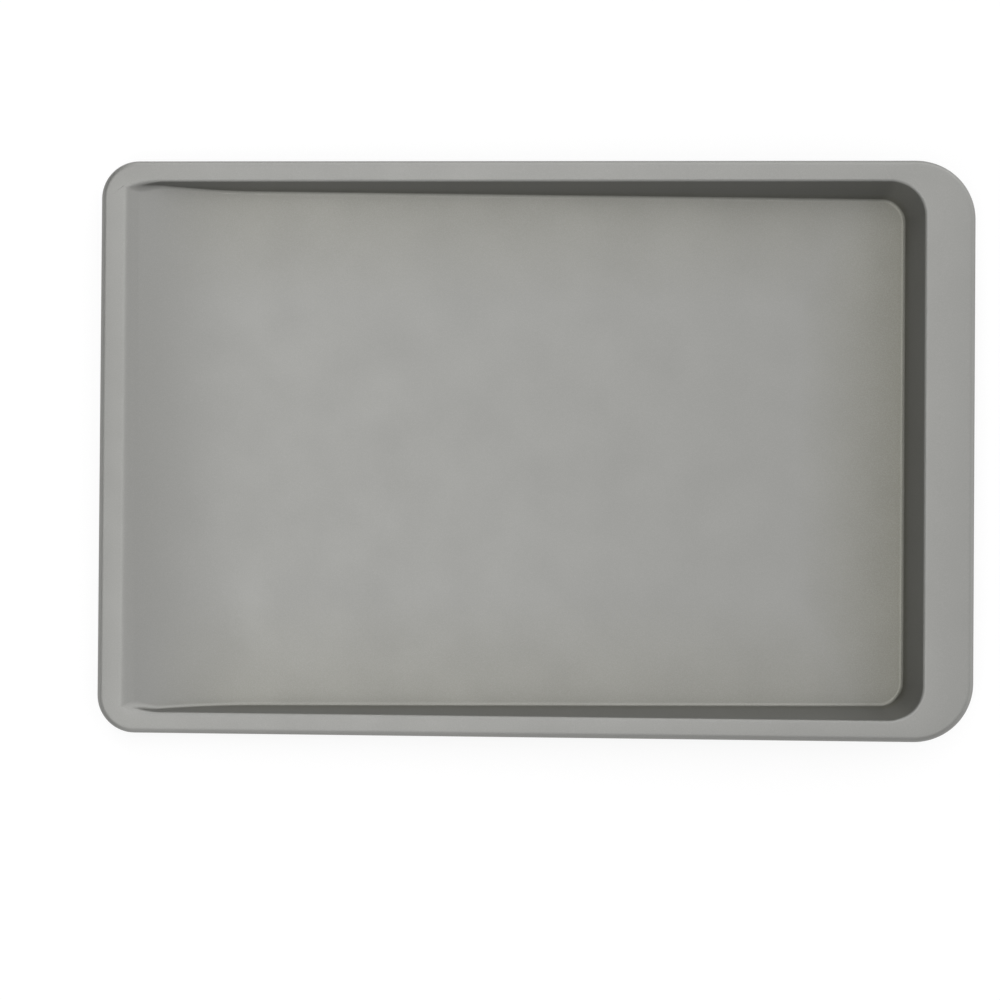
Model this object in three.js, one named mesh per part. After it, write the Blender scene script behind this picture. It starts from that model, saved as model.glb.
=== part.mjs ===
// Cookie sheet: a pan pressed from one sheet of coated steel. Its flat floor sweeps up in a ramp to a
// low lip at one end. Its side walls grow from that lip to a deep end wall. Its rim is a flat flange,
// wide enough at the deep end to be the grip, with the edge curled under round a steel wire.
// Millimetres, +Z up. The origin is on the table under the middle of the pan, +X runs from the lip to
// the grip and +Y across the pan.
import * as THREE from "three";

// Driving dimensions
const SHEET_THICKNESS = 0.8;
const CAVITY_LENGTH = 381; // from the lip line to where the deep wall's plane meets the rim
const CAVITY_WIDTH = 254; // between the lines where the side walls' planes meet the rim
const DEEP_RIM_HEIGHT = 25.4; // top of the rim above the table, at the deep wall
const LIP_RIM_HEIGHT = 12.4; // top of the rim above the table, at the lip line
const RAMP_LENGTH = 65; // from the lip line to the flat floor
const WALL_DRAFT = 11; // degrees from upright
const RIM_BEND_RADIUS = 1.5; // upper face, between the flange and a wall
const FLOOR_FILLET_RADIUS = 2; // upper face, between a wall and the floor
const LIP_BEND_RADIUS = 4; // upper face, between the lip's flange and the ramp
const DEEP_CORNER_RADIUS = 16.4; // corners of the cavity in plan, at the rim
const LIP_CORNER_RADIUS = 30; // the side walls curve in at this radius and are cut off by the lip line
const LIP_CORNER_RUN = 14; // from the lip line to where that curve starts
const SIDE_FLANGE_WIDTH = 10.1; // from the cavity's edge to the outside of the curl
const GRIP_FLANGE_WIDTH = 23.8;
const LIP_FLANGE_WIDTH = 10.9;
const GRIP_RIM_CORNER = 28; // outside corners of the rim in plan
const LIP_RIM_CORNER = 18;
const WIRE_DIAMETER = 4;
const WIRE_CLEARANCE = 0.3; // between the wire and the inside of the curl
const WIRE_END_GAP = 1; // between the wire's two butted ends
const CURL_TURN = 288; // degrees that the edge is rolled through

// Share of a shallow wall's height that its two bends take up, which leaves the rest straight
const BEND_SHARE = 0.85;

// The bends of a wall lower than this get wider towards the lip, where they are this many times as wide
const SOFT_WALL_HEIGHT = 6;
const SOFT_BEND_FACTOR = 3;

// Least run inwards over which a wall is drawn, where it has run out at the lip
const LEAST_WALL_RUN = 2;

// Facets
const DEEP_CORNER_STEPS = 8;
const LIP_CORNER_STEPS = 6;
const RAMP_STEPS = 8;
const FLAT_SIDE_STEPS = 3;
const BEND_STEPS = 4;
const FILLET_STEPS = 4;
const CURL_STEPS = 16;
const WIRE_SIDES = 8;

// Places that follow from the driving dimensions
const wallAngle = THREE.MathUtils.degToRad(90 - WALL_DRAFT);
const curlTurn = THREE.MathUtils.degToRad(CURL_TURN);
const curlRadius = WIRE_DIAMETER / 2 + WIRE_CLEARANCE + SHEET_THICKNESS;
const overallLength = LIP_FLANGE_WIDTH + CAVITY_LENGTH + GRIP_FLANGE_WIDTH;
const lipX = LIP_FLANGE_WIDTH - overallLength / 2;
const deepX = lipX + CAVITY_LENGTH;

// The bend at the rim starts this far outside the line where the wall's plane meets the rim.
const bendSetBack = RIM_BEND_RADIUS * Math.tan(wallAngle / 2);
const edgeDeepX = deepX + bendSetBack;
const edgeHalfWidth = CAVITY_WIDTH / 2 + bendSetBack;
const edgeDeepCorner = DEEP_CORNER_RADIUS + bendSetBack;
const edgeLipCorner = LIP_CORNER_RADIUS + bendSetBack;
const edgeLipX = lipX + LIP_CORNER_RUN - edgeLipCorner;

// Middles of the lip's bend and of the ramp's arc, which touch where the one turns into the other
const rimTilt = Math.atan2(DEEP_RIM_HEIGHT - LIP_RIM_HEIGHT, CAVITY_LENGTH);
const lipBendX = lipX + LIP_BEND_RADIUS * Math.sin(rimTilt);
const lipBendZ = LIP_RIM_HEIGHT - LIP_BEND_RADIUS * Math.cos(rimTilt);
const rampX = lipX + RAMP_LENGTH;
const arcsApart = rampX - lipBendX;
const bendAboveFloor = lipBendZ - SHEET_THICKNESS;
const rampRadius =
  (arcsApart ** 2 + bendAboveFloor ** 2 - LIP_BEND_RADIUS ** 2) / (2 * (bendAboveFloor + LIP_BEND_RADIUS));
const touchX = lipBendX + (arcsApart * LIP_BEND_RADIUS) / (LIP_BEND_RADIUS + rampRadius);

// The rim lies in one plane that climbs from the lip to the grip.
function rimHeight(x) {
  return LIP_RIM_HEIGHT + ((DEEP_RIM_HEIGHT - LIP_RIM_HEIGHT) * (x - lipX)) / CAVITY_LENGTH;
}

// The floor's upper face is flat, then the ramp's arc leaves it, and the lip's bend turns that arc into
// the rim at the lip line. Each of them starts in the direction in which the last one ends.
function floorHeight(x) {
  if (x <= lipX) return rimHeight(x);
  if (x < touchX) return lipBendZ + Math.sqrt(LIP_BEND_RADIUS ** 2 - (x - lipBendX) ** 2);
  if (x < rampX) return SHEET_THICKNESS + rampRadius - Math.sqrt(rampRadius ** 2 - (rampX - x) ** 2);
  return SHEET_THICKNESS;
}

function cavityDepth(x) {
  return Math.max(0, rimHeight(x) - floorHeight(x));
}

// A wall's section where the cavity has a given depth: the bend at the rim, a straight drafted wall and
// the fillet at the floor. Where the cavity is shallow both bends are wider and turn through a smaller
// angle, so the side walls run out smoothly into the lip.
function wallSection(depth) {
  const shallow = Math.max(0, 1 - depth / SOFT_WALL_HEIGHT);
  const soften = THREE.MathUtils.lerp(1, SOFT_BEND_FACTOR, shallow);
  const bend = RIM_BEND_RADIUS * soften;
  const fillet = FLOOR_FILLET_RADIUS * soften;
  const angle = Math.acos(Math.max(Math.cos(wallAngle), 1 - (BEND_SHARE * depth) / (bend + fillet)));
  const straightRise = depth - (bend + fillet) * (1 - Math.cos(angle));
  const straightRun = angle > 0 ? straightRise / Math.tan(angle) : 0;
  const reach = (bend + fillet) * Math.sin(angle) + straightRun;
  return { angle, bend, fillet, reach };
}

// How far the upper face lies below the rim at a distance inside the cavity's edge.
function wallDrop(inside, depth) {
  if (inside <= 0 || depth <= 0) return 0;
  const { angle, bend, fillet, reach } = wallSection(depth);
  const bendRun = bend * Math.sin(angle);
  if (inside < bendRun) return bend - Math.sqrt(bend ** 2 - inside ** 2);
  if (inside < reach - fillet * Math.sin(angle)) {
    return bend * (1 - Math.cos(angle)) + (inside - bendRun) * Math.tan(angle);
  }
  const toFloor = Math.max(0, reach - inside);
  return depth - fillet + Math.sqrt(fillet ** 2 - toFloor ** 2);
}

// Distance from a point in plan to the edge where the walls' bends start, positive inside it. That edge
// is a rounded rectangle that goes on past the lip line, where the cavity has no depth.
function insideCavity(x, y) {
  const fromMiddle = x - (edgeLipX + edgeDeepX) / 2;
  const radius = fromMiddle < 0 ? edgeLipCorner : edgeDeepCorner;
  const dx = Math.abs(fromMiddle) - (edgeDeepX - edgeLipX) / 2 + radius;
  const dy = Math.abs(y) - edgeHalfWidth + radius;
  return radius - Math.hypot(Math.max(dx, 0), Math.max(dy, 0)) - Math.min(Math.max(dx, dy), 0);
}

function pressedHeight(x, y) {
  return rimHeight(x) - wallDrop(insideCavity(x, y), cavityDepth(x));
}

// The upper face's unit normal, from the slopes of the pressed form.
function pressedNormal(x, y) {
  const step = 1e-4;
  const alongX = pressedHeight(x - step, y) - pressedHeight(x + step, y);
  const alongY = pressedHeight(x, y - step) - pressedHeight(x, y + step);
  return new THREE.Vector3(alongX, alongY, 2 * step).normalize();
}

// Shares of the way along a straight side: close together over the ramp, wide apart over the flat floor.
function sideShares() {
  const straight = CAVITY_LENGTH - LIP_CORNER_RUN - DEEP_CORNER_RADIUS;
  const rampShare = (RAMP_LENGTH - LIP_CORNER_RUN) / straight;
  const shares = [];
  for (let i = 1; i <= RAMP_STEPS; i++) shares.push((rampShare * i) / RAMP_STEPS);
  for (let i = 1; i < FLAT_SIDE_STEPS; i++) shares.push(rampShare + ((1 - rampShare) * i) / FLAT_SIDE_STEPS);
  return shares;
}

// A rounded-rectangle outline as stations, each a point in plan with its outward normal. They run from
// the lip end to the deep end along +Y and back along -Y, so station i mirrors station length - 1 - i.
// The lip's corners are arcs that start a run away from the lip end and are cut off there.
function outline(lipEnd, deepEnd, halfWidth, lipCorner, lipRun, deepCorner) {
  const corner = (x, radius, from, to, steps) => {
    const centre = new THREE.Vector2(x, halfWidth - radius);
    return new THREE.ArcCurve(x, centre.y, radius, from, to, true)
      .getPoints(steps)
      .map((point) => ({ point, normal: point.clone().sub(centre).normalize() }));
  };
  const lipTurn = Math.asin(lipRun / lipCorner);
  const lip = corner(lipEnd + lipRun, lipCorner, Math.PI / 2 + lipTurn, Math.PI / 2, LIP_CORNER_STEPS);
  const deep = corner(deepEnd - deepCorner, deepCorner, Math.PI / 2, 0, DEEP_CORNER_STEPS);
  lip[0].normal.add(new THREE.Vector2(-1, 0)).normalize();
  const side = sideShares().map((share) => ({
    point: lip.at(-1).point.clone().lerp(deep[0].point, share),
    normal: new THREE.Vector2(0, 1),
  }));
  const half = [...lip, ...side, ...deep];
  const mirrored = half.toReversed().map(({ point, normal }) => ({
    point: new THREE.Vector2(point.x, -point.y),
    normal: new THREE.Vector2(normal.x, -normal.y),
  }));
  return [...half, ...mirrored];
}

const cavityEdge = outline(lipX, edgeDeepX, edgeHalfWidth, edgeLipCorner, LIP_CORNER_RUN, edgeDeepCorner);

// The rim's outline over the middle of the curl, where the flat flange ends.
const curlLine = outline(
  curlRadius - overallLength / 2,
  overallLength / 2 - curlRadius,
  CAVITY_WIDTH / 2 + SIDE_FLANGE_WIDTH - curlRadius,
  LIP_RIM_CORNER - curlRadius,
  LIP_RIM_CORNER - curlRadius,
  GRIP_RIM_CORNER - curlRadius,
);

// Distances inside the cavity's edge at which a station's wall is drawn, from the floor up to the rim.
function wallSteps({ point, normal }) {
  let section = { reach: LEAST_WALL_RUN };
  for (let i = 0; i < 40; i++) section = wallSection(cavityDepth(point.x - normal.x * section.reach));
  const { angle, bend, fillet, reach } = section;
  if (reach < LEAST_WALL_RUN) {
    const last = FILLET_STEPS + BEND_STEPS + 1;
    return Array.from({ length: last + 1 }, (_, i) => LEAST_WALL_RUN * (1 - i / last));
  }
  const steps = [];
  for (let i = 0; i <= FILLET_STEPS; i++) steps.push(reach - fillet * Math.sin((angle * i) / FILLET_STEPS));
  for (let i = BEND_STEPS; i >= 0; i--) steps.push(bend * Math.sin((angle * i) / BEND_STEPS));
  return steps;
}

// A closed skin over a row of rings of equally many points, with both end rings filled straight across.
function skin(rings) {
  const around = rings[0].length;
  const corners = rings.flat().flatMap((point) => point.toArray());
  const faces = [];
  const quad = (a, b, c, d) => faces.push(a, b, c, a, c, d);
  for (let ring = 0; ring + 1 < rings.length; ring++) {
    for (let i = 0; i < around; i++) {
      const here = ring * around;
      const next = (i + 1) % around;
      quad(here + i, here + around + i, here + around + next, here + next);
    }
  }
  const last = (rings.length - 1) * around;
  for (let i = 0; i + 1 < around / 2; i++) {
    const across = around - 1 - i;
    quad(i, i + 1, across - 1, across);
    quad(last + i, last + across, last + across - 1, last + i + 1);
  }
  const geometry = new THREE.BufferGeometry();
  geometry.setAttribute("position", new THREE.Float32BufferAttribute(corners, 3));
  geometry.setIndex(faces);
  geometry.computeVertexNormals();
  return geometry;
}

// A point round the curl's section at a station: turn 0 is the top, and it rolls outwards and under.
function curlPoint({ point, normal }, radius, turn) {
  const x = point.x + normal.x * radius * Math.sin(turn);
  const y = point.y + normal.y * radius * Math.sin(turn);
  return new THREE.Vector3(x, y, rimHeight(x) - curlRadius + radius * Math.cos(turn));
}

// The pressed sheet: rings under it from the floor to the curled edge, then back over the upper face.
function panBody() {
  const insides = cavityEdge.map(wallSteps);
  const pressed = insides[0].map((_, step) =>
    cavityEdge.map(({ point, normal }, i) => point.clone().addScaledVector(normal, -insides[i][step])),
  );
  const pressedTop = pressed.map((ring) =>
    ring.map(({ x, y }) => new THREE.Vector3(x, y, pressedHeight(x, y))),
  );
  const pressedUnder = pressedTop.map((ring) =>
    ring.map((top) => top.clone().addScaledVector(pressedNormal(top.x, top.y), -SHEET_THICKNESS)),
  );
  const turns = Array.from({ length: CURL_STEPS + 1 }, (_, i) => (curlTurn * i) / CURL_STEPS);
  const curlRings = (radius) =>
    turns.map((turn) => curlLine.map((station) => curlPoint(station, radius, turn)));
  const top = [...pressedTop, ...curlRings(curlRadius)];
  const under = [...pressedUnder, ...curlRings(curlRadius - SHEET_THICKNESS)];
  return skin([...under, ...top.toReversed()]);
}

// The stiffening wire inside the curl, from one butted end round the rim to the other. The ends meet in
// the middle of the grip.
function rimWire() {
  const afterGrip = curlLine.length / 2;
  const gripEnd = (side) => ({
    point: new THREE.Vector2(curlLine[afterGrip].point.x, (side * WIRE_END_GAP) / 2),
    normal: new THREE.Vector2(1, 0),
  });
  const stations = [
    gripEnd(-1),
    ...curlLine.slice(afterGrip),
    ...curlLine.slice(0, afterGrip),
    gripEnd(1),
  ];
  const turns = Array.from({ length: WIRE_SIDES }, (_, i) => (2 * Math.PI * (i + 0.5)) / WIRE_SIDES);
  return skin(stations.map((station) => turns.map((turn) => curlPoint(station, WIRE_DIAMETER / 2, turn))));
}

const coatedSteel = new THREE.MeshStandardMaterial({ color: 0xa3a39e, roughness: 0.5, metalness: 0.85 });
const zincedSteel = new THREE.MeshStandardMaterial({ color: 0xb5b8ba, roughness: 0.35, metalness: 1 });

function piece(name, geometry, material) {
  const mesh = new THREE.Mesh(geometry, material);
  mesh.name = name;
  return mesh;
}

const cookieSheet = new THREE.Group();
cookieSheet.add(piece("pan_body", panBody(), coatedSteel));
cookieSheet.add(piece("rim_wire", rimWire(), zincedSteel));

export default cookieSheet;
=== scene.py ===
# Cookie sheet: a coated-steel pan with a ramp up to a low lip at one end, drafted walls that grow
# towards a deep end, and a flat rim, wide at the deep end to be gripped, curled under round a wire.
import math

import bmesh
import bpy
from mathutils import Matrix, Vector


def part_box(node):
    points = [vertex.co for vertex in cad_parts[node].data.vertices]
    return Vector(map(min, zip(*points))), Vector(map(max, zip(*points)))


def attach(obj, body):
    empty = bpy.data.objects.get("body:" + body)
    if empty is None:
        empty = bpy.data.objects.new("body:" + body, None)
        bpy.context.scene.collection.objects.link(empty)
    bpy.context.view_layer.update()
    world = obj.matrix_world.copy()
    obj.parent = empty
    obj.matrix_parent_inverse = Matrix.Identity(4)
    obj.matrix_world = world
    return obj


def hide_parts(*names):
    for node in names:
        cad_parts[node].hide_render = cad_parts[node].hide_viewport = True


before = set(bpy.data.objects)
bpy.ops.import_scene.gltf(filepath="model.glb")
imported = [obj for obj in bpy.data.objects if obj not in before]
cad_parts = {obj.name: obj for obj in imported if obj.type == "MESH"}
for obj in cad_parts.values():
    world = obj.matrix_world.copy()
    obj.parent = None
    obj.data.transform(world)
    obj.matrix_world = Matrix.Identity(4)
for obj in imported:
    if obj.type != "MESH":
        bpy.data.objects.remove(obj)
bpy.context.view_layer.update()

# Sizes in metres, as on the solids of the frame
SHEET_THICKNESS = 0.0008
CAVITY_LENGTH = 0.381
CAVITY_WIDTH = 0.254
DEEP_RIM_HEIGHT = 0.0254
LIP_RIM_HEIGHT = 0.0124
RAMP_LENGTH = 0.065
WALL_DRAFT = math.radians(11)
RIM_BEND_RADIUS = 0.0015
FLOOR_FILLET_RADIUS = 0.002
LIP_BEND_RADIUS = 0.004
DEEP_CORNER_RADIUS = 0.0164
LIP_CORNER_RADIUS = 0.030
LIP_CORNER_RUN = 0.014
LIP_FLANGE_WIDTH = 0.0109
GRIP_RIM_CORNER = 0.028
LIP_RIM_CORNER = 0.018
WIRE_DIAMETER = 0.004
WIRE_CLEARANCE = 0.0003
WIRE_END_GAP = 0.001
CURL_TURN = math.radians(288)

# Where the walls run out at the lip, a wall below the soft height has wider bends, which take no more
# than a share of its height. Its rings keep a least run, and lean over next to the lip line.
SOFT_WALL_HEIGHT = 0.006
SOFT_BEND_FACTOR = 3
BEND_SHARE = 0.85
LEAST_WALL_RUN = 0.002
LIP_LEAN_RUN = 0.006

# Painted shade: the floor is painted darker and warmer within this run from the foot of the walls, on
# what is lower than this height. At the side walls it has this share of what it has at the deep end.
PAINTED_SHADE_RUN = 0.05
PAINTED_SHADE_HEIGHT = 0.008
PAINTED_SHADE_AT_SIDES = 0.55

# Colours of the coat, the wire and the table
PLAIN_COAT_GREY = (0.250, 0.250, 0.240, 1)
CLOUDY_COAT_GREY = (0.253, 0.253, 0.243, 1)
# Painted shade, darker and warmer, laid on the floor at the foot of the walls
PAINTED_SHADE_GREY = (0.212, 0.209, 0.180, 1)
FLECK_GREY = (0.297, 0.297, 0.285, 1)
DULL_ZINC_GREY = (0.40, 0.41, 0.42, 1)
BRIGHT_ZINC_GREY = (0.52, 0.53, 0.54, 1)
TABLE_WHITE = (0.9, 0.9, 0.9, 1)
WHITE = (1, 1, 1, 1)

# The table in metres and the share of it that glows, and the camera with its lens in millimetres
TABLE_REACH = 80
TABLE_GAP = 0.0002
TABLE_GLOW = 0.8
CAMERA_PLACE = (-0.00757, -0.03231, 0.9)
CAMERA_TURN = (0.00897, 0.00876, 0.00728)
CAMERA_LENS = 66.91
CAMERA_SENSOR = 36

# Fineness of the dressed meshes
LIP_WALL_SEGMENTS = 60
DEEP_CORNER_SEGMENTS = 24
SIDE_CUTS = 90
BEND_RINGS = 12
STRAIGHT_RINGS = 4
FILLET_RINGS = 12
WALL_RINGS = BEND_RINGS + STRAIGHT_RINGS + FILLET_RINGS
CURL_RINGS = 32
WIRE_SIDES = 20
REACH_TRIES = 40
MERGE_DISTANCE = 1e-6
NEGLIGIBLE = 1e-7

# Places that follow from those sizes and from the frame
pan_low, pan_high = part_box("pan_body")
wall_angle = math.pi / 2 - WALL_DRAFT
curl_radius = WIRE_DIAMETER / 2 + WIRE_CLEARANCE + SHEET_THICKNESS
bend_set_back = RIM_BEND_RADIUS * math.tan(wall_angle / 2)
lip_x = pan_low[0] + LIP_FLANGE_WIDTH
deep_x = lip_x + CAVITY_LENGTH
rim_tilt = math.atan2(DEEP_RIM_HEIGHT - LIP_RIM_HEIGHT, CAVITY_LENGTH)
lip_bend_x = lip_x + LIP_BEND_RADIUS * math.sin(rim_tilt)
lip_bend_z = LIP_RIM_HEIGHT - LIP_BEND_RADIUS * math.cos(rim_tilt)

# The ramp's arc leaves the floor at ramp_x and meets the lip's bend at touch_x.
ramp_x = lip_x + RAMP_LENGTH
arcs_apart = ramp_x - lip_bend_x
bend_above_floor = lip_bend_z - SHEET_THICKNESS
ramp_radius = (arcs_apart**2 + bend_above_floor**2 - LIP_BEND_RADIUS**2) / (
    2 * (bend_above_floor + LIP_BEND_RADIUS)
)
touch_x = lip_bend_x + arcs_apart * LIP_BEND_RADIUS / (LIP_BEND_RADIUS + ramp_radius)


# Outlines in plan


def round_off(bm, corners, radius, segments):
    bmesh.ops.bevel(
        bm,
        geom=corners,
        offset=radius,
        offset_type="OFFSET",
        segments=segments,
        profile=0.5,
        affect="VERTICES",
        material=-1,
    )


class Outline:
    """A rounded rectangle, the same on both sides of the XZ plane, with a corner radius for each end."""

    def __init__(self, lip_end, deep_end, half_width, lip_corner, deep_corner):
        self.lip_end = lip_end
        self.deep_end = deep_end
        self.half_width = half_width
        self.lip_corner = lip_corner
        self.deep_corner = deep_corner

    def nearest(self, point):
        """The outward unit normal at the outline's nearest point, and the distance inside the outline."""
        from_middle = point.x - (self.lip_end + self.deep_end) / 2
        radius = self.lip_corner if from_middle < 0 else self.deep_corner
        past_x = abs(from_middle) - (self.deep_end - self.lip_end) / 2 + radius
        past_y = abs(point.y) - self.half_width + radius
        if past_x > NEGLIGIBLE and past_y > NEGLIGIBLE:
            outward = Vector((past_x, past_y, 0)).normalized()
            inside = radius - math.hypot(past_x, past_y)
        elif past_x > past_y:
            outward = Vector((1, 0, 0))
            inside = radius - past_x
        else:
            outward = Vector((0, 1, 0))
            inside = radius - past_y
        outward.x = math.copysign(outward.x, from_middle)
        outward.y = math.copysign(outward.y, point.y)
        return outward, inside

    def loop(self, bm, lip_segments, cut_x):
        """Adds the outline, without what lies before cut_x, as a loop of edges with evenly cut sides."""
        known = set(bm.edges)
        lip = [bm.verts.new((self.lip_end, side * self.half_width, 0)) for side in (-1, 1)]
        deep = [bm.verts.new((self.deep_end, side * self.half_width, 0)) for side in (-1, 1)]
        bm.faces.new((lip[0], deep[0], deep[1], lip[1]))
        round_off(bm, lip, self.lip_corner, lip_segments)
        round_off(bm, deep, self.deep_corner, DEEP_CORNER_SEGMENTS)
        fresh = [edge for edge in bm.edges if edge not in known]
        plate = fresh[0].link_faces[0]
        bmesh.ops.bisect_plane(
            bm,
            geom=[plate, *plate.edges, *plate.verts],
            dist=MERGE_DISTANCE,
            plane_co=(cut_x, 0, 0),
            plane_no=(-1, 0, 0),
            clear_outer=True,
        )
        bmesh.ops.delete(bm, geom=bm.faces[:], context="FACES_ONLY")
        fresh = [edge for edge in bm.edges if edge not in known]
        sides = [edge for edge in fresh if edge.calc_length() > 2 * self.half_width]
        bmesh.ops.bisect_edges(bm, edges=sides, cuts=SIDE_CUTS)
        return [edge for edge in bm.edges if edge not in known]


# The walls' bends start on this outline. It goes on past the lip line, where the cavity has no depth.
cavity = Outline(
    lip_x + LIP_CORNER_RUN - LIP_CORNER_RADIUS - bend_set_back,
    deep_x + bend_set_back,
    CAVITY_WIDTH / 2 + bend_set_back,
    LIP_CORNER_RADIUS + bend_set_back,
    DEEP_CORNER_RADIUS + bend_set_back,
)

# The flat flange ends on this outline, over the middle of the curl.
curl_line = Outline(
    pan_low[0] + curl_radius,
    pan_high[0] - curl_radius,
    pan_high[1] - curl_radius,
    LIP_RIM_CORNER - curl_radius,
    GRIP_RIM_CORNER - curl_radius,
)

# The rim's lip corners have as many segments as the lip line leaves in those of the walls.
lip_share = math.asin(LIP_CORNER_RUN / cavity.lip_corner) / (math.pi / 2)
lip_corner_segments = math.ceil(lip_share * LIP_WALL_SEGMENTS)


# The pressed form


def rim_height(x):
    """The rim lies in one plane that climbs from the lip to the grip."""
    return LIP_RIM_HEIGHT + (DEEP_RIM_HEIGHT - LIP_RIM_HEIGHT) * (x - lip_x) / CAVITY_LENGTH


def floor_height(x):
    """The floor is flat, then the ramp's arc leaves it and the lip's bend turns that arc into the rim."""
    if x <= lip_x:
        return rim_height(x)
    if x < touch_x:
        return lip_bend_z + math.sqrt(LIP_BEND_RADIUS**2 - (x - lip_bend_x) ** 2)
    if x < ramp_x:
        return SHEET_THICKNESS + ramp_radius - math.sqrt(ramp_radius**2 - (ramp_x - x) ** 2)
    return SHEET_THICKNESS


def cavity_depth(x):
    return max(0, rim_height(x) - floor_height(x))


def wall_section(depth):
    """The angle of a wall's straight, the radii of its bend and fillet, and its whole reach inwards."""
    soften = 1 + (SOFT_BEND_FACTOR - 1) * max(0, 1 - depth / SOFT_WALL_HEIGHT)
    bend = RIM_BEND_RADIUS * soften
    fillet = FLOOR_FILLET_RADIUS * soften
    angle = math.acos(max(math.cos(wall_angle), 1 - BEND_SHARE * depth / (bend + fillet)))
    straight_rise = depth - (bend + fillet) * (1 - math.cos(angle))
    straight_run = straight_rise / math.tan(angle) if angle > 0 else 0
    return angle, bend, fillet, (bend + fillet) * math.sin(angle) + straight_run


def wall_drop(inside, depth):
    """How far the upper face lies below the rim at a distance inside the cavity's edge."""
    if inside <= 0 or depth <= 0:
        return 0
    angle, bend, fillet, reach = wall_section(depth)
    bend_run = bend * math.sin(angle)
    if inside < bend_run:
        return bend - math.sqrt(bend**2 - inside**2)
    if inside < reach - fillet * math.sin(angle):
        return bend * (1 - math.cos(angle)) + (inside - bend_run) * math.tan(angle)
    to_floor = max(0, reach - inside)
    return depth - fillet + math.sqrt(fillet**2 - to_floor**2)


def wall_station(point):
    """A point of the cavity's edge with the direction in which the wall's rings lie off it.

    Next to the lip line that direction leans over towards the line, so that the rings do not cross there.
    """
    outward, _ = cavity.nearest(point)
    lean = max(0, 1 - (point.x - lip_x) / LIP_LEAN_RUN)
    return point.copy(), (outward - Vector((lean, 0, 0))).normalized()


def wall_place(station, ring):
    """A place on the wall's upper face, on one of its rings from the rim, ring 0, to the floor."""
    edge, outward = station
    # The reach depends on the depth at the foot of the wall, a reach inwards, so it is found by turns.
    reach = LEAST_WALL_RUN
    for _ in range(REACH_TRIES):
        angle, bend, fillet, reach = wall_section(cavity_depth(edge.x - outward.x * reach))
    left = WALL_RINGS - ring
    if reach < LEAST_WALL_RUN:
        step = LEAST_WALL_RUN * ring / WALL_RINGS
    elif ring <= BEND_RINGS:
        step = bend * math.sin(angle * ring / BEND_RINGS)
    elif left < FILLET_RINGS:
        step = reach - fillet * math.sin(angle * left / FILLET_RINGS)
    else:
        bend_run = bend * math.sin(angle)
        straight_run = reach - fillet * math.sin(angle) - bend_run
        step = bend_run + straight_run * (ring - BEND_RINGS) / STRAIGHT_RINGS
    place = edge - outward * step
    _, inside = cavity.nearest(place)
    place.z = rim_height(place.x) - wall_drop(inside, cavity_depth(place.x))
    return place


def curl_station(point):
    """A point of the flange's edge with the direction in which the curl rolls off it."""
    outward, inside = curl_line.nearest(point)
    return point + outward * inside, outward


def curl_place(station, ring):
    """A place on the curl's outer face, on one of its rings from the flange, ring 0, to its end."""
    edge, outward = station
    turn = CURL_TURN * ring / CURL_RINGS
    place = edge + outward * curl_radius * math.sin(turn)
    place.z = rim_height(place.x) - curl_radius * (1 - math.cos(turn))
    return place


# Shader nodes


def new_material(name):
    material = bpy.data.materials.new(name)
    material.use_nodes = True
    tree = material.node_tree
    return material, tree, tree.nodes["Principled BSDF"]


def feed(tree, socket, value):
    """Links another node's output to a socket, or sets a constant on it."""
    if isinstance(value, bpy.types.NodeSocket):
        tree.links.new(value, socket)
    else:
        socket.default_value = value


def noise(tree, place, scale, detail):
    texture = tree.nodes.new("ShaderNodeTexNoise")
    texture.inputs["Scale"].default_value = scale
    texture.inputs["Detail"].default_value = detail
    tree.links.new(place, texture.inputs["Vector"])
    return texture.outputs["Fac"]


def spread(tree, value, source, target):
    """A value carried over from one range to another, and held within it."""
    node = tree.nodes.new("ShaderNodeMapRange")
    node.inputs["From Min"].default_value = source[0]
    node.inputs["From Max"].default_value = source[1]
    node.inputs["To Min"].default_value = target[0]
    node.inputs["To Max"].default_value = target[1]
    tree.links.new(value, node.inputs["Value"])
    return node.outputs["Result"]


def tint(tree, share, first, second):
    """A colour that goes over into another one as the share grows."""
    node = tree.nodes.new("ShaderNodeMix")
    node.data_type = "RGBA"
    feed(tree, node.inputs["Factor"], share)
    feed(tree, node.inputs["A"], first)
    feed(tree, node.inputs["B"], second)
    return node.outputs["Result"]


def combine(tree, operation, *values):
    """One step of arithmetic on other nodes' outputs and on numbers."""
    node = tree.nodes.new("ShaderNodeMath")
    node.operation = operation
    for socket, value in zip(node.inputs, values):
        feed(tree, socket, value)
    return node.outputs["Value"]


def bump(tree, height, distance, strength, under=None):
    """A bumped normal, which may lie over the bumps of another one."""
    node = tree.nodes.new("ShaderNodeBump")
    node.inputs["Distance"].default_value = distance
    node.inputs["Strength"].default_value = strength
    tree.links.new(height, node.inputs["Height"])
    if under:
        tree.links.new(under, node.inputs["Normal"])
    return node.outputs["Normal"]


# Materials


def painted_shade_share(tree, place):
    """The share of painted shade on the floor. It grows towards the walls, and most at the deep end."""
    split = tree.nodes.new("ShaderNodeSeparateXYZ")
    tree.links.new(place, split.inputs["Vector"])
    x, y, z = split.outputs
    _, _, _, wall_reach = wall_section(DEEP_RIM_HEIGHT - SHEET_THICKNESS)
    wall_run = wall_reach - bend_set_back
    foot_x = deep_x - wall_run
    foot_y = CAVITY_WIDTH / 2 - wall_run
    from_middle = combine(tree, "ABSOLUTE", y)
    at_deep_end = spread(tree, x, (foot_x - PAINTED_SHADE_RUN, foot_x), (0, 1))
    at_sides = spread(tree, from_middle, (foot_y - PAINTED_SHADE_RUN, foot_y), (0, PAINTED_SHADE_AT_SIDES))
    at_walls = combine(tree, "MAXIMUM", at_deep_end, at_sides)
    low_down = spread(tree, z, (SHEET_THICKNESS, PAINTED_SHADE_HEIGHT), (1, 0))
    return combine(tree, "MULTIPLY", at_walls, low_down)


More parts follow.
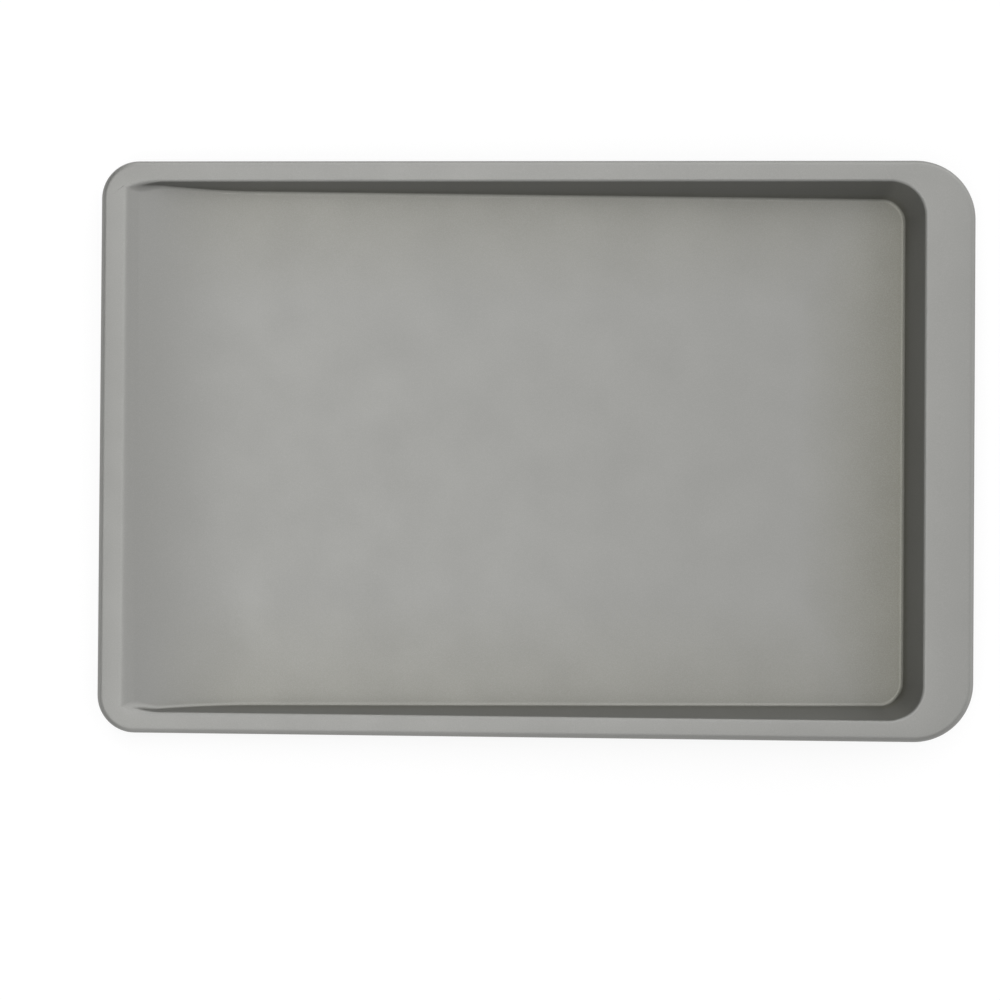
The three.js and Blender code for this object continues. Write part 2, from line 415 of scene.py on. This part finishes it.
def coated_steel():
    """Satin grey metallic non-stick coating with a fine fleck, on a sheet that is faintly wavy.

    It is a little cloudy, and painted darker and warmer near the foot of the walls, as painted shade.
    """
    material, tree, surface = new_material("coated_steel")
    place = tree.nodes.new("ShaderNodeTexCoord").outputs["Object"]
    clouds = spread(tree, noise(tree, place, scale=11, detail=3), (0.35, 0.65), (0, 1))
    flecks = spread(tree, noise(tree, place, scale=2200, detail=2), (0.4, 0.75), (0, 0.5))
    coat = tint(tree, clouds, PLAIN_COAT_GREY, CLOUDY_COAT_GREY)
    # Painted shade: the floor is painted darker and warmer near the foot of the walls, most at the deep
    # end.
    coat = tint(tree, painted_shade_share(tree, place), coat, PAINTED_SHADE_GREY)
    coat = tint(tree, flecks, coat, FLECK_GREY)
    tree.links.new(coat, surface.inputs["Base Color"])
    surface.inputs["Metallic"].default_value = 1.0
    satin = spread(tree, noise(tree, place, scale=35, detail=4), (0.3, 0.7), (0.5, 0.54))
    tree.links.new(satin, surface.inputs["Roughness"])
    wave_height = noise(tree, place, scale=12, detail=1)
    waves = bump(tree, wave_height, distance=0.0002, strength=0.06)
    grain_height = noise(tree, place, scale=1100, detail=2)
    grain = bump(tree, grain_height, distance=0.00003, strength=0.5, under=waves)
    tree.links.new(grain, surface.inputs["Normal"])
    return material


def zinc_wire():
    """Drawn, zinc-coated wire: a dull spangle over a fine grain."""
    material, tree, surface = new_material("zinc_wire")
    place = tree.nodes.new("ShaderNodeTexCoord").outputs["Object"]
    spangle = spread(tree, noise(tree, place, scale=260, detail=3), (0.35, 0.65), (0, 1))
    zinc = tint(tree, spangle, DULL_ZINC_GREY, BRIGHT_ZINC_GREY)
    tree.links.new(zinc, surface.inputs["Base Color"])
    surface.inputs["Metallic"].default_value = 1.0
    tree.links.new(spread(tree, spangle, (0, 1), (0.32, 0.46)), surface.inputs["Roughness"])
    grain_height = noise(tree, place, scale=900, detail=2)
    grain = bump(tree, grain_height, distance=0.00004, strength=0.4)
    tree.links.new(grain, surface.inputs["Normal"])
    return material


def white_table():
    """Paint that shows nearly pure white to the camera and keeps a light shadow of the pan."""
    material, tree, surface = new_material("white_table")
    surface.inputs["Base Color"].default_value = TABLE_WHITE
    surface.inputs["Roughness"].default_value = 0.9
    surface.inputs["Specular IOR Level"].default_value = 0.0
    paths = tree.nodes.new("ShaderNodeLightPath")
    seen = paths.outputs["Is Camera Ray"]
    for other in ("Is Glossy Ray", "Is Transmission Ray"):
        seen = combine(tree, "MAXIMUM", seen, paths.outputs[other])
    glow = tree.nodes.new("ShaderNodeEmission")
    glow.inputs["Color"].default_value = WHITE
    glow.inputs["Strength"].default_value = 1
    both = tree.nodes.new("ShaderNodeMixShader")
    tree.links.new(combine(tree, "MULTIPLY", seen, TABLE_GLOW), both.inputs["Fac"])
    tree.links.new(surface.outputs["BSDF"], both.inputs[1])
    tree.links.new(glow.outputs["Emission"], both.inputs[2])
    tree.links.new(both.outputs["Shader"], tree.nodes["Material Output"].inputs["Surface"])
    return material


# Pieces


def only(kind, made):
    """The vertices, edges or faces among what an operator made."""
    return [item for item in made if isinstance(item, kind)]


def finished(bm, name, material, node):
    """The mesh as a smooth object that rides on the pan and stands for a node of the frame."""
    mesh = bpy.data.meshes.new(name)
    bm.to_mesh(mesh)
    bm.free()
    mesh.shade_smooth()
    mesh.materials.append(material)
    piece = bpy.data.objects.new(name, mesh)
    bpy.context.scene.collection.objects.link(piece)
    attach(piece, "root")
    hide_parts(node)
    return piece


def extruded(bm, loop, stations, place_of, ring):
    """Extrudes a loop of edges by one ring, whose vertices keep the stations of those they came from."""
    made = bmesh.ops.extrude_edge_only(bm, edges=loop)["geom"]
    following = {}
    for vert in only(bmesh.types.BMVert, made):
        sources = (edge.other_vert(vert) for edge in vert.link_edges)
        following[vert] = next(stations[source] for source in sources if source in stations)
        vert.co = place_of(following[vert], ring)
    free_edges = [edge for edge in only(bmesh.types.BMEdge, made) if edge.is_boundary]
    return free_edges, following


def stations_along(loop, station_of, place_of):
    """Puts a loop's vertices on ring 0 and gives each its station."""
    stations = {vert: station_of(vert.co) for edge in loop for vert in edge.verts}
    for vert, station in stations.items():
        vert.co = place_of(station, 0)
    return stations


def pressed_pan(material):
    """The sheet: its flange, its walls drawn down ring by ring to the floor, and its curl, thickened."""
    bm = bmesh.new()
    rim_loop = curl_line.loop(bm, lip_corner_segments, curl_line.lip_end - curl_radius)
    wall_loop = cavity.loop(bm, LIP_WALL_SEGMENTS, lip_x)
    bmesh.ops.bridge_loops(bm, edges=rim_loop + wall_loop)

    stations = stations_along(wall_loop, wall_station, wall_place)
    for ring in range(1, WALL_RINGS + 1):
        wall_loop, stations = extruded(bm, wall_loop, stations, wall_place, ring)

    # The floor and the ramp are ruled straight across from side to side.
    bmesh.ops.contextual_create(bm, geom=wall_loop)
    far_side = sorted((vert for vert in stations if vert.co.y > 0), key=lambda vert: vert.co.x)
    near_side = sorted((vert for vert in stations if vert.co.y < 0), key=lambda vert: vert.co.x)
    for across in zip(far_side[1:-1], near_side[1:-1]):
        bmesh.ops.connect_verts(bm, verts=across)

    # The rim's edge is rolled outwards, down and under.
    stations = stations_along(rim_loop, curl_station, curl_place)
    for ring in range(1, CURL_RINGS + 1):
        rim_loop, stations = extruded(bm, rim_loop, stations, curl_place, ring)

    bmesh.ops.recalc_face_normals(bm, faces=bm.faces[:])
    bm.normal_update()
    if max(bm.faces, key=lambda face: face.calc_area()).normal.z < 0:
        bmesh.ops.reverse_faces(bm, faces=bm.faces[:])
    pan = finished(bm, "pan_sheet", material, "pan_body")
    gauge = pan.modifiers.new("gauge", "SOLIDIFY")
    gauge.thickness = SHEET_THICKNESS
    gauge.offset = -1
    gauge.use_even_offset = True


def rim_wire(material):
    """The wire in the curl: a round section run along the rim's straights and spun round its corners."""
    bm = bmesh.new()
    start = Vector((curl_line.deep_end, WIRE_END_GAP / 2, 0))
    bmesh.ops.create_circle(
        bm,
        cap_ends=True,
        segments=WIRE_SIDES,
        radius=WIRE_DIAMETER / 2,
        matrix=Matrix.Translation(start) @ Matrix.Rotation(math.pi / 2, 4, "X"),
    )
    end = bm.faces[:][0]

    def run(offset):
        nonlocal end
        made = bmesh.ops.extrude_face_region(bm, geom=[end, *end.edges, *end.verts])["geom"]
        bmesh.ops.translate(bm, verts=only(bmesh.types.BMVert, made), vec=offset)
        end = only(bmesh.types.BMFace, made)[0]

    def turn(centre, steps):
        nonlocal end
        made = bmesh.ops.spin(
            bm,
            geom=[end, *end.edges, *end.verts],
            cent=centre,
            axis=(0, 0, 1),
            angle=math.pi / 2,
            steps=steps,
            use_duplicate=False,
        )["geom_last"]
        end = only(bmesh.types.BMFace, made)[0]

    lip_y = curl_line.half_width - curl_line.lip_corner
    deep_y = curl_line.half_width - curl_line.deep_corner
    lip_centre = curl_line.lip_end + curl_line.lip_corner
    deep_centre = curl_line.deep_end - curl_line.deep_corner
    run((0, deep_y - start.y, 0))
    turn((deep_centre, deep_y, 0), DEEP_CORNER_SEGMENTS)
    run((lip_centre - deep_centre, 0, 0))
    turn((lip_centre, lip_y, 0), lip_corner_segments)
    run((0, -2 * lip_y, 0))
    turn((lip_centre, -lip_y, 0), lip_corner_segments)
    run((deep_centre - lip_centre, 0, 0))
    turn((deep_centre, -deep_y, 0), DEEP_CORNER_SEGMENTS)
    run((0, deep_y - start.y, 0))
    bmesh.ops.remove_doubles(bm, verts=bm.verts[:], dist=MERGE_DISTANCE)
    for vert in bm.verts:
        vert.co.z += rim_height(vert.co.x) - curl_radius
    bmesh.ops.recalc_face_normals(bm, faces=bm.faces[:])
    finished(bm, "rim_wire_drawn", material, "rim_wire")


# Studio


def softbox(name, place, aim, width, depth, radiance):
    """A rectangular lamp that faces the place it is aimed at."""
    lamp = bpy.data.lights.new(name, "AREA")
    lamp.shape = "RECTANGLE"
    lamp.size = width
    lamp.size_y = depth
    lamp.energy = radiance * math.pi * width * depth
    box = bpy.data.objects.new(name, lamp)
    box.location = place
    box.rotation_euler = (Vector(aim) - Vector(place)).to_track_quat("-Z", "Y").to_euler()
    bpy.context.scene.collection.objects.link(box)


def studio_light():
    """A strip of light overhead, a little to the left, in a dimmer room.

    The room is lighter on its left, back and right, dark at the back left and dimmer in front.
    """
    world = bpy.data.worlds.new("studio")
    world.use_nodes = True
    tree = world.node_tree
    direction = tree.nodes.new("ShaderNodeTexCoord").outputs["Generated"]

    def towards(axis, start, full, strength):
        """Light that comes in as the direction turns towards an axis, between two cosines."""
        cosine = tree.nodes.new("ShaderNodeVectorMath")
        cosine.operation = "DOT_PRODUCT"
        cosine.inputs[1].default_value = axis
        tree.links.new(direction, cosine.inputs[0])
        return spread(tree, cosine.outputs["Value"], (start, full), (0, strength))

    room = 0.345
    darkest = 0.0
    left = (-1, 0, 0)
    right = (1, 0, 0)
    back_left = (-0.5, 0.866, 0)
    back = (0.3, 0.954, 0)
    back_right = (0.6, 0.8, 0)
    front = (0, -1, 0)
    front_right = (0.8, -0.6, 0)
    above = (0, 0, 1)
    below = (0, 0, -1)
    lights = (
        # The strip comes in at the middle and goes out again on the left
        towards(left, start=-0.05, full=0.25, strength=2.83),
        towards(left, start=0.2, full=0.55, strength=-2.88),
        # The room's sides
        towards(left, start=0.75, full=0.97, strength=1.0),
        towards(back_left, start=0.6, full=0.95, strength=-0.9),
        towards(back, start=0.6, full=0.95, strength=0.9),
        towards(back_right, start=0.2, full=0.55, strength=0.6),
        towards(right, start=0.2, full=0.55, strength=0.4),
        towards(front_right, start=0.6, full=0.95, strength=0.6),
        # Straight overhead, and low down all round
        towards(above, start=0.88, full=0.98, strength=1.03),
        towards(below, start=-0.5, full=-0.1, strength=0.2),
    )
    strength = room
    for light in lights:
        strength = combine(tree, "ADD", strength, light)
    dimming = combine(tree, "SUBTRACT", 1, towards(front, start=0.2, full=0.6, strength=0.28))
    strength = combine(tree, "MULTIPLY", strength, dimming)
    strength = combine(tree, "MAXIMUM", strength, darkest)
    tree.links.new(strength, tree.nodes["Background"].inputs["Strength"])
    tree.nodes["Background"].inputs["Color"].default_value = WHITE
    bpy.context.scene.world = world


def table_under_pan(material):
    """A wide table, a hair below the pan."""
    mesh = bpy.data.meshes.new("table")
    bm = bmesh.new()
    bmesh.ops.create_grid(bm, x_segments=1, y_segments=1, size=TABLE_REACH)
    bm.to_mesh(mesh)
    bm.free()
    mesh.materials.append(material)
    table = bpy.data.objects.new("table", mesh)
    table.location.z = -TABLE_GAP
    bpy.context.scene.collection.objects.link(table)


def photo_camera():
    """The camera that looks down on the pan from where the photograph was taken."""
    optics = bpy.data.cameras.new("photo_camera")
    optics.sensor_width = CAMERA_SENSOR
    optics.lens = CAMERA_LENS
    camera = bpy.data.objects.new("photo_camera", optics)
    camera.location = CAMERA_PLACE
    camera.rotation_euler = CAMERA_TURN
    bpy.context.scene.collection.objects.link(camera)
    bpy.context.scene.camera = camera


pressed_pan(coated_steel())
rim_wire(zinc_wire())
softbox(
    "front_left_softbox",
    place=(-0.6, -0.7, 1.0),
    aim=(0, 0, 0),
    width=0.35,
    depth=0.35,
    radiance=2.2,
)
studio_light()
table_under_pan(white_table())
photo_camera()
bpy.context.scene.view_settings.view_transform = "Standard"
